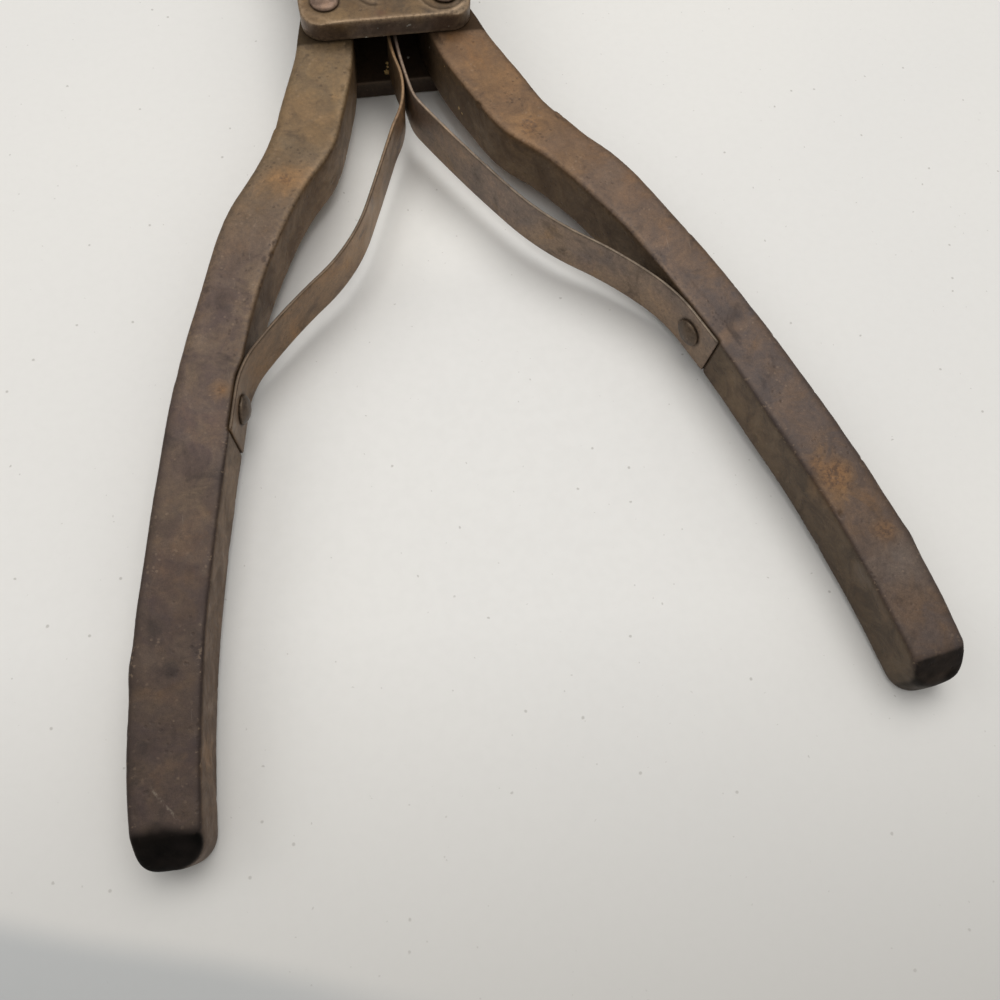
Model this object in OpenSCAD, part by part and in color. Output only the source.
// Compound-action cutting nippers, spring return.
// Two forged handles and two jaws work between a pair of riveted cheek plates.
// Frame: origin midway between the two handle pivots, on the outer face of the rear
// plate, which is the face the tool rests on. +Y towards the jaws, +X to the right,
// +Z out of the front plate. Millimetres.
// Each paired piece is drawn as the left one; the right one is its mirror image.

/* [Bar stock] */
// Thickness of the forged handles and of the jaws between the plates
bar_t = 12.7; // [12:0.1:13.4]
// Clearance between the bar and each plate
side_gap = 0.1; // [0.05:0.05:0.2]

/* [Cheek plates] */
// Thickness of each cheek plate
plate_t = 4.76; // [4.2:0.02:5.4]
// Width of the plates
plate_w = 38.5; // [38:0.5:39.5]
// Plate edge below the handle pivots
plate_drop = 7.4; // [7:0.1:8]
// Plate edge above the handle pivots
plate_rise = 40; // [39.5:0.5:40]
// Radius of the lower corners
plate_r_low = 5; // [4:0.5:5.5]
// Radius of the upper corners
plate_r_top = 10; // [9:0.5:10.5]

/* [Linkage] */
// Distance between the two handle pivots
pivot_gap = 27; // [26.6:0.2:27.4]
// Distance between the two jaw pivots
jaw_gap = 24; // [23.8:0.2:24.2]
// Height of the jaw pivots above the handle pivots
jaw_rise = 31; // [30.8:0.1:31.2]
// Length of a handle's short arm, pivot to centre of its nose
arm = 12.5; // [12.3:0.1:12.7]
// Radius of the rounded nose on the short arm
nose_r = 2.8; // [2.6:0.1:2.8]
// Play of the nose in the fork of the jaw's tail, each side
fork_play = 0.08; // [0.06:0.01:0.1]

/* [Rest pose] */
// Left handle at rest, degrees closed from the even open pose
left_rest = 3; // [-4:0.5:14]
// Right handle at rest, degrees closed from the even open pose
right_rest = -3; // [-4:0.5:14]

/* [Handle] */
// Left handle pivot to the end of its grip
left_len = 171; // [169:0.5:175]
// Right handle pivot to the end of its grip
right_len = 172; // [169:0.5:175]
// Extra width the left grip was forged to
left_extra = 0.5; // [0:0.1:0.6]
// Extra width the right grip was forged to
right_extra = 0.1; // [0:0.1:0.6]
// Plan radius of the end's inner corner
end_r_in = 5; // [3.5:0.5:5.5]
// Plan radius of the end's outer corner
end_r_out = 3; // [1.5:0.1:3.5]
// Bevel across the end of the grip, on the front
end_bevel = 5.5; // [4:0.5:6]

/* [Leaf springs] */
// Thickness of the spring leaf
leaf_t = 0.7; // [0.6:0.05:0.8]
// Width of the spring leaf
leaf_w = 11.6; // [10.5:0.1:11.8]
// Distance from the foot's cut end to its rivet
foot_rivet = 7; // [6.5:0.5:7.5]
// Shank radius of the spring rivets
leaf_rivet_r = 1.6; // [1.4:0.1:1.7]
// Head radius of the spring rivets
leaf_head_r = 3.05; // [2.8:0.05:3.3]

/* [Pins and screws] */
// Shank radius of the handle rivets
rivet_r = 2.2; // [2:0.05:2.3]
// Radius of the rivets' countersinks at the plate's face
rivet_csk_r = 2.5; // [2.35:0.05:2.6]
// Radius of the domed head on the front plate
rivet_head_r = 3.15; // [3:0.05:3.3]
// How far the hammered head sits off its shank, towards the grips
rivet_head_off = 0.85; // [0:0.05:0.9]
// Shank radius of the jaw screws
jaw_screw_r = 3; // [2.8:0.1:3.1]
// Radius of the spacer between the plates
spacer_r = 5.3; // [5:0.05:5.35]
// Running clearance on a radius
run = 0.04; // [0.02:0.01:0.06]
// Seating clearance on a radius
seat = 0.02; // [0.01:0.01:0.03]

/* [Cutters] */
// Shank radius of the cutter screws
cutter_screw_r = 1.75; // [1.5:0.05:1.9]
// Distance between the two screws of one cutter
cutter_screw_gap = 10.5; // [9:0.5:12]

/* [Hidden] */
$fn = 96;

// colours shared by several nodes
handle_color = [0.36, 0.28, 0.22];
spring_color = [0.42, 0.35, 0.28];
spring_rivet_color = [0.33, 0.27, 0.23];
rivet_color = [0.38, 0.3, 0.25];
jaw_color = [0.33, 0.28, 0.23];
cutter_color = [0.5, 0.47, 0.43];
screw_color = [0.3, 0.27, 0.24];

// height levels
z_bar = plate_t + side_gap;      // rear face of handles and jaws
z_mid = z_bar + bar_t / 2;       // middle of the bar
z_front = z_bar + bar_t + side_gap; // inner face of the front plate
z_top = z_front + plate_t;       // outer face of the front plate
past = 1;                        // how far a cut runs past a face

// linkage; leans are degrees from +Y towards +X
handle_pivot = [-pivot_gap / 2, 0];
jaw_pivot = [-jaw_gap / 2, jaw_rise];
pivot_line = jaw_pivot - handle_pivot;
close_at = 17;                   // handle's closing, even open pose to cutters meeting
mid_at = 6;                      // closing that puts the nose on the line of pivots
line_lean = atan2(pivot_line[0], pivot_line[1]);
arm_lean = line_lean + mid_at;   // short arm in the even open pose
tail = norm(pivot_line) - arm;   // jaw pivot to the fork's seat
ratio = arm / tail;              // jaw turn for one degree of handle
tail_lean = line_lean + (close_at - mid_at) * ratio; // tail of the closed jaw

// ---------- curves ----------
span_steps = 4;                  // steps in one span of a smooth curve
leaf_step = 2.2;                 // longest step along a leaf

function xy(p) = [p[0], p[1]];
function rev(list) = [for (i = [len(list) - 1 : -1 : 0]) list[i]];

// point at fraction t of the Catmull-Rom span between start and end
function spline_at(before, start, end, after, t) =
    0.5 * (2 * start + (end - before) * t
           + (2 * before - 5 * start + 4 * end - after) * t * t
           + (3 * start - before - 3 * end + after) * t * t * t);

// smooth curve through a list of stations
function through(stations) = let (last = len(stations) - 1) concat(
    [for (i = [0 : last - 1], k = [0 : span_steps - 1])
        spline_at(i == 0 ? 2 * stations[0] - stations[1] : stations[i - 1],
                  stations[i], stations[i + 1],
                  i == last - 1 ? 2 * stations[last] - stations[i] : stations[i + 2],
                  k / span_steps)],
    [stations[last]]);

// unit direction along a curve at point i
function along(curve, i) =
    let (step = xy(curve[min(len(curve) - 1, i + 1)]) - xy(curve[max(0, i - 1)]))
    step / norm(step);

// a direction turned a quarter clockwise: outwards, for one that runs down the left grip
function outward(dir) = [dir[1], -dir[0]];

// points of an arc about a centre, from one angle to another
function round_pts(centre, r, from, to, steps) =
    [for (k = [0 : steps]) let (a = from + (to - from) * k / steps)
        centre + r * [cos(a), sin(a)]];

// [x, y, heading] at fraction u of an arc that leaves start = [x, y, heading]
function arc_at(start, length, turn, u) = abs(turn) < 0.01
    ? [start[0] + length * u * cos(start[2]), start[1] + length * u * sin(start[2]), start[2]]
    : let (r = length / (turn * PI / 180), heading = start[2] + turn * u)
      [start[0] + r * (sin(heading) - sin(start[2])),
       start[1] - r * (cos(heading) - cos(start[2])), heading];

// points of a chain of [length, turn] arcs, without its start
function chain(start, arcs, i = 0) = i >= len(arcs) ? [] :
    let (length = arcs[i][0], turn = arcs[i][1], steps = max(2, ceil(length / leaf_step)))
    concat([for (k = [1 : steps]) arc_at(start, length, turn, k / steps)],
           chain(arc_at(start, length, turn, 1), arcs, i + 1));

// ---------- placing ----------
module at(place, z = 0) { translate([place[0], place[1], z]) children(); }
module about(centre, angle) { at(centre) rotate([0, 0, angle]) at(-centre) children(); }
module both() { children(); mirror([1, 0, 0]) children(); }

// a part of the handle, turned by this much closing
module on_handle(closing) { about(handle_pivot, closing) children(); }
// a part of the jaw, drawn closed, opened to suit the handle's closing
module on_jaw(rest) { about(jaw_pivot, (close_at - rest) * ratio) children(); }
// a leaf drawn at pose, carried to rest: with the handle, and flexed about its foot
module on_leaf(rest, pose, foot, flex) {
    on_handle(rest - pose) about(xy(foot), (rest - pose) * flex) children();
}
// frame at a leaf's foot: +X along the leaf, -Y away from the handle
module at_foot(foot, z) { at(foot, z) rotate([0, 0, foot[2]]) children(); }
// axis of a leaf's rivet, +Z away from the handle
module foot_axis(foot) {
    at_foot(foot, z_mid) translate([foot_rivet, 0, 0]) rotate([90, 0, 0]) children();
}

// ---------- leaf springs ----------
// Each leaf is drawn with its handle closed to the given pose.
// foot: [x, y, heading] of its cut end; leaf: arcs of [length, turn in degrees];
// flex: turn about the foot for one degree of handle.
left_foot = [-44.6, -98.5, 77.2];
left_leaf = [[8.5, 0], [10.5, -28.5], [20, -8.5], [20, 26],
             [19.5, 1], [4.5, -6.1], [15, 39.2], [9, -11]];
left_pose = 3;
left_flex = 0.29;
right_foot = [-54.6, -94.5, 68.2];
right_leaf = [[8, 0], [11.7, -19.3], [17, -11.2], [19.6, 18.2],
              [30, 5], [4, 20.6], [11, 5.8], [6, 3]];
right_pose = -3;
right_flex = 0.18;

module leaf(foot, arcs) {
    line = concat([foot], chain(foot, arcs));
    difference() {
        translate([0, 0, z_mid - leaf_w / 2]) linear_extrude(leaf_w)
            polygon(concat([for (p = line) xy(p)],
                           rev([for (p = line) xy(p) + leaf_t * [sin(p[2]), -cos(p[2])]])));
        foot_axis(foot) translate([0, 0, -2]) cylinder(r = leaf_rivet_r + run, h = 4);
    }
}
module left_spring() {
    color(spring_color) on_leaf(left_rest, left_pose, left_foot, left_flex)
        leaf(left_foot, left_leaf);
}
module right_spring() {
    color(spring_color) mirror([1, 0, 0])
        on_leaf(right_rest, right_pose, right_foot, right_flex) leaf(right_foot, right_leaf);
}

// dome-headed rivet: head on the free side of the leaf, shank through the handle
leaf_shank = 11.35;              // shank length behind the leaf
leaf_shank_lap = 0.1;            // shank past the leaf, into the head
leaf_head_gap = 0.06;            // leaf to the head's underside
leaf_head_h = 1.35;
leaf_dome_r = 4.2;

module leaf_rivet(foot) {
    foot_axis(foot) {
        translate([0, 0, -leaf_shank])
            cylinder(r = leaf_rivet_r, h = leaf_shank + leaf_t + leaf_shank_lap);
        translate([0, 0, leaf_t + leaf_head_gap]) rotate_extrude() intersection() {
            square([leaf_head_r, leaf_head_h]);
            translate([0, leaf_head_h - leaf_dome_r]) circle(r = leaf_dome_r);
        }
    }
}
module left_spring_rivet() {
    color(spring_rivet_color) on_handle(left_rest - left_pose) leaf_rivet(left_foot);
}
module right_spring_rivet() {
    color(spring_rivet_color) mirror([1, 0, 0]) on_handle(right_rest - right_pose)
        leaf_rivet(right_foot);
}

// ---------- handles ----------
boss_r = 5.85;                   // boss round a handle's pivot
end_block = 6;                   // straight length from the last station to the grip's end
widen_below = 20;                // the extra width applies below this drop
outer_share = 0.7;               // shift of the centre line for the extra width
// Stations in the even open pose:
// [drop below the pivot, centre line outwards from the pivot, width across]
grip_stations = [
    [0, 0, 2 * boss_r], [12, 2.8, 13.2], [24, 7, 13.4], [33, 10.7, 13],
    [42, 17.3, 11.3], [53, 24.7, 12], [68, 31.6, 11], [88, 39.1, 11.5],
    [110, 45.3, 11.9], [132, 50.9, 12], [152, 54.4, 11.9]];
grip_last = [55.7, 11.2];        // the last station's centre line and width

// smooth centre line of a grip: [x, y, width]
function grip_line(length, extra) = through(
    [for (s = concat(grip_stations, [concat([length - end_block], grip_last)]))
        let (more = s[0] < widen_below ? 0 : extra)
        [handle_pivot[0] - s[1] - outer_share * more, -s[0], s[2] + more]]);

// edge of a grip: side is 1 for the outer one, -1 for the inner one
function grip_edge(line, side) = [for (i = [0 : len(line) - 1])
    xy(line[i]) + side * outward(along(line, i)) * line[i][2] / 2];

module grip_outline(line) {
    last = len(line) - 1;
    down = along(line, last);
    out = outward(down);
    end = xy(line[last]) + down * end_block;    // middle of the end face
    half = line[last][2] / 2;
    down_angle = atan2(down[1], down[0]);
    arm_angle = 90 - arm_lean;
    polygon(concat(
        grip_edge(line, 1),
        round_pts(end + out * (half - end_r_out) - down * end_r_out, end_r_out,
                  down_angle - 90, down_angle, 5),
        round_pts(end - out * (half - end_r_in) - down * end_r_in, end_r_in,
                  down_angle, down_angle + 90, 8),
        rev(grip_edge(line, -1)),
        // boss round the pivot, broken by the short arm with its rounded nose
        round_pts(handle_pivot, boss_r, 12, arm_angle - 38, 5),
        round_pts(handle_pivot + arm * [cos(arm_angle), sin(arm_angle)], nose_r,
                  arm_angle - 137, arm_angle + 137, 40),
        round_pts(handle_pivot, boss_r, arm_angle + 38, 168, 6)));
}

// frame at the middle of the grip's end face: +Y down the grip, +Z up from the rear face
module grip_end(line) {
    last = len(line) - 1;
    down = along(line, last);
    at(xy(line[last]) + down * end_block, z_bar)
        rotate([0, 0, atan2(down[1], down[0]) - 90]) children();
}

// flat across the inner side of the grip for a leaf's foot, running out upwards
module leaf_seat(foot) {
    cut_end = -0.35;             // clear of the foot's cut end
    behind = 0.03;               // clear behind the leaf
    at_foot(foot, z_bar - past) linear_extrude(bar_t + 2 * past)
        polygon([[cut_end, behind], [11.5, behind], [22, -2.6], [22, -6], [cut_end, -6]]);
}

module handle(foot, pose, length, extra) {
    line = grip_line(length, extra);
    difference() {
        translate([0, 0, z_bar]) linear_extrude(bar_t) grip_outline(line);
        at(handle_pivot) cylinder(r = rivet_r + run, h = z_top + past);
        on_handle(-pose) {
            leaf_seat(foot);
            foot_axis(foot) translate([0, 0, -24]) cylinder(r = leaf_rivet_r + seat, h = 30);
        }
        // bevel across the end of the grip
        grip_end(line) translate([-20, -end_bevel, bar_t]) rotate([-45, 0, 0])
            cube([40, 20, 20]);
    }
}
module left_handle() {
    color(handle_color) on_handle(left_rest)
        handle(left_foot, left_pose, left_len, left_extra);
}
module right_handle() {
    color(handle_color) mirror([1, 0, 0]) on_handle(right_rest)
        handle(right_foot, right_pose, right_len, right_extra);
}

// ---------- handle rivets ----------
shank_inset = 0.15;              // rivets stop short of the rear plate's outer face
csk_depth = 0.8;                 // countersinks in the front plate
csk_past = 0.1;                  // how far they run past its face
csk_gap = 0.02;                  // rivet's flare off the bottom of its countersink
flare_h = 1.05;                  // flare, up into the head
head_lift = 0.05;                // head's underside above the plate
head_rim = 0.17;                 // straight rim of the head
head_dome = 0.6;                 // dome above the rim
head_round = 0.35;               // rounding where the dome meets the rim

module handle_rivet() {
    flare_z = z_top - csk_depth + csk_gap;
    at(handle_pivot, shank_inset) cylinder(r = rivet_r, h = flare_z - shank_inset);
    at(handle_pivot, flare_z) rotate_extrude()
        polygon([[0, 0], [rivet_r, 0], [rivet_csk_r, csk_depth],
                 [rivet_csk_r, flare_h], [0, flare_h]]);
    // the head was hammered over a little to one side of the shank
    at(handle_pivot - [0, rivet_head_off], z_top + head_lift) rotate_extrude()
        polygon(concat(
            [[0, 0], [rivet_head_r, 0], [rivet_head_r, head_rim]],
            [for (a = [15 : 15 : 75])
                [(rivet_head_r - head_round) * cos(a * 0.9) + head_round * cos(a),
                 head_rim + head_dome * sin(a)]],
            [[0, head_rim + head_dome]]));
}
module left_handle_rivet() { color(rivet_color) handle_rivet(); }
module right_handle_rivet() { color(rivet_color) mirror([1, 0, 0]) handle_rivet(); }

// ---------- jaw screws ----------
jaw_head_r = jaw_screw_r + 1.45;
jaw_bore_r = jaw_head_r + 0.05;  // counterbore in the front plate
jaw_bore_depth = 2;

module jaw_screw() {
    difference() {
        union() {
            at(jaw_pivot, 0.2) cylinder(r = jaw_screw_r, h = z_top - 1.95);
            at(jaw_pivot, z_top - jaw_bore_depth + 0.04) cylinder(r = jaw_head_r, h = 2.2);
        }
        // slot
        at(jaw_pivot - [6, 0.6], z_top - 0.9) cube([12, 1.2, 3]);
    }
}
module left_jaw_screw() { color(screw_color) jaw_screw(); }
module right_jaw_screw() { color(screw_color) mirror([1, 0, 0]) jaw_screw(); }

// ---------- spacer ----------
spacer_at = [0, 20];
spacer_end_gap = 0.02;           // spacer to each plate
spacer_rivet_r = 1.6;
spacer_flare_h = 0.75;

module spacer() {
    color([0.35, 0.3, 0.25]) at(spacer_at, plate_t + spacer_end_gap) difference() {
        cylinder(r = spacer_r, h = z_front - plate_t - 2 * spacer_end_gap);
        translate([0, 0, -past]) cylinder(r = spacer_rivet_r + seat, h = bar_t + 3 * past);
    }
}
module spacer_rivet() {
    color(rivet_color) at(spacer_at) {
        translate([0, 0, shank_inset])
            cylinder(r = spacer_rivet_r, h = z_top - shank_inset - 0.7);
        translate([0, 0, z_top - spacer_flare_h])
            cylinder(r1 = spacer_rivet_r, r2 = 2.3, h = spacer_flare_h);
    }
}

// ---------- cheek plates ----------
module plate_outline() {
    low_x = plate_w / 2 - plate_r_low;
    low_y = plate_r_low - plate_drop;
    top_x = plate_w / 2 - plate_r_top;
    top_y = plate_rise - plate_r_top;
    polygon(concat(
        round_pts([low_x, low_y], plate_r_low, -90, 0, 10),
        round_pts([top_x, top_y], plate_r_top, 0, 90, 16),
        round_pts([-top_x, top_y], plate_r_top, 90, 180, 16),
        round_pts([-low_x, low_y], plate_r_low, 180, 270, 10)));
}
// holes through a plate whose rear face is at z
module plate_holes(z) {
    depth = plate_t + 2 * past;
    both() {
        at(handle_pivot, z - past) cylinder(r = rivet_r + seat, h = depth);
        at(jaw_pivot, z - past) cylinder(r = jaw_screw_r + seat, h = depth);
    }
    at(spacer_at, z - past) cylinder(r = spacer_rivet_r + seat, h = depth);
}
module countersink(place, shank_r, face_r) {
    at(place, z_top - csk_depth)
        cylinder(r1 = shank_r + seat, r2 = face_r, h = csk_depth + csk_past);
}
module front_plate() {
    color([0.45, 0.37, 0.28]) difference() {
        translate([0, 0, z_front]) linear_extrude(plate_t) plate_outline();
        plate_holes(z_front);
        both() {
            countersink(handle_pivot, rivet_r, rivet_csk_r + 0.1);
            at(jaw_pivot, z_top - jaw_bore_depth)
                cylinder(r = jaw_bore_r, h = jaw_bore_depth + past);
        }
        countersink(spacer_at, spacer_rivet_r, 2.5);
    }
}
module rear_plate() {
    color([0.4, 0.33, 0.25]) difference() {
        linear_extrude(plate_t) plate_outline();
        plate_holes(0);
    }
}

// ---------- jaws, drawn closed ----------
head_inset = 0.4;                // the wide heads stand this far inside the plates' faces
head_low = 31;                   // lower end of the head's outline
hub_r = 7.2;                     // round a jaw's pivot
cutter_back = -9.5;              // x of the cutter's back
cutter_low = 53.4;               // y of its lower face
cutter_top = 62.6;               // y of its upper face
bevel_x = -2.6;                  // x where the bevel to its edge leaves the upper face
// outer and inner sides of the head: [x, y]
jaw_out = [[-19, head_low], [-20.4, 37], [-21, 44], [-19.6, 51], [-15.6, 57.6],
           [cutter_back, cutter_top]];
jaw_in = [[-7.6, cutter_low], [-8.2, 49], [-7.6, 43.5], [-6, 38], [-5, head_low]];
// forked tail: [x, y] from the pivot, with -Y along the tail
tail_end = -tail - 1.2;
tail_outline = [[-6.9, 0], [-6.4, -8], [-6.3, -tail], [-5.6, tail_end],
                [5, tail_end], [5.6, -tail], [5.7, -8], [6.9, 0]];
fork_r = nose_r + fork_play;

module jaw_head_outline() {
    polygon(concat(through(jaw_out), [[bevel_x, cutter_top], [bevel_x, cutter_low]],
                   through(jaw_in)));
}
// axes of a cutter's two screws, +Z running into the blade from the jaw's back
module at_cutter_screws() {
    for (k = [-1, 1])
        translate([cutter_back, 58, z_top / 2 + k * cutter_screw_gap / 2])
            rotate([0, 90, 0]) children();
}
module jaw() {
    difference() {
        union() {
            at(jaw_pivot, z_bar) cylinder(r = hub_r, h = bar_t);
            // head between the plates
            translate([0, 0, z_bar]) linear_extrude(bar_t) intersection() {
                jaw_head_outline();
                translate([-30, head_low]) square([30, 12]);
            }
            // wider head above them
            translate([0, 0, head_inset]) linear_extrude(z_top - 2 * head_inset) difference() {
                intersection() {
                    jaw_head_outline();
                    translate([-30, plate_rise + 0.6]) square([30, 30]);
                }
                translate(jaw_pivot) circle(r = 10);
                translate([cutter_back - 0.03, cutter_low - 0.03]) square([12, 12]);
            }
            at(jaw_pivot, z_bar) rotate([0, 0, -tail_lean]) linear_extrude(bar_t)
                polygon(tail_outline);
        }
        at(jaw_pivot, -past) cylinder(r = jaw_screw_r + run, h = z_top + 2 * past);
        // fork: rounded seat and open slot
        at(jaw_pivot, z_bar - past) rotate([0, 0, -tail_lean]) {
            translate([0, -tail, 0]) cylinder(r = fork_r, h = bar_t + 2 * past);
            translate([-fork_r, -tail - 5, 0]) cube([2 * fork_r, 5, bar_t + 2 * past]);
        }
        at_cutter_screws() {
            translate([0, 0, -20]) cylinder(r = cutter_screw_r + seat, h = 40);
            translate([0, 0, -12]) cylinder(r = 3.5, h = 9);
        }
    }
}
module left_jaw() { color(jaw_color) on_jaw(left_rest) jaw(); }
module right_jaw() { color(jaw_color) mirror([1, 0, 0]) on_jaw(right_rest) jaw(); }

// ---------- cutters ----------
cutter_inset = head_inset + 0.1;
// section when closed; its edge stands just short of the middle
cutter_outline = [[-0.04, 59.4], [bevel_x, cutter_top], [cutter_back, cutter_top],
                  [cutter_back, cutter_low], [-3.6, cutter_low], [-3.6, 55.6]];

module cutter() {
    difference() {
        translate([0, 0, cutter_inset]) linear_extrude(z_top - 2 * cutter_inset)
            polygon(cutter_outline);
        at_cutter_screws() translate([0, 0, -2]) cylinder(r = cutter_screw_r + seat, h = 7);
    }
}
module left_cutter() { color(cutter_color) on_jaw(left_rest) cutter(); }
module right_cutter() { color(cutter_color) mirror([1, 0, 0]) on_jaw(right_rest) cutter(); }

// shanks, and slotted heads sunk in the jaw's back
module cutter_screws() {
    at_cutter_screws() difference() {
        union() {
            translate([0, 0, -3.1]) cylinder(r = cutter_screw_r, h = 7.6);
            translate([0, 0, -5.2]) cylinder(r = 3.35, h = 2.15);
        }
        translate([-0.5, -5, -5.4]) cube([1, 10, 1.1]);
    }
}
module left_cutter_screws() { color(screw_color) on_jaw(left_rest) cutter_screws(); }
module right_cutter_screws() {
    color(screw_color) mirror([1, 0, 0]) on_jaw(right_rest) cutter_screws();
}

front_plate();
rear_plate();
left_handle();
right_handle();
left_handle_rivet();
right_handle_rivet();
left_spring();
right_spring();
left_spring_rivet();
right_spring_rivet();
left_jaw();
right_jaw();
left_jaw_screw();
right_jaw_screw();
left_cutter();
right_cutter();
left_cutter_screws();
right_cutter_screws();
spacer();
spacer_rivet();
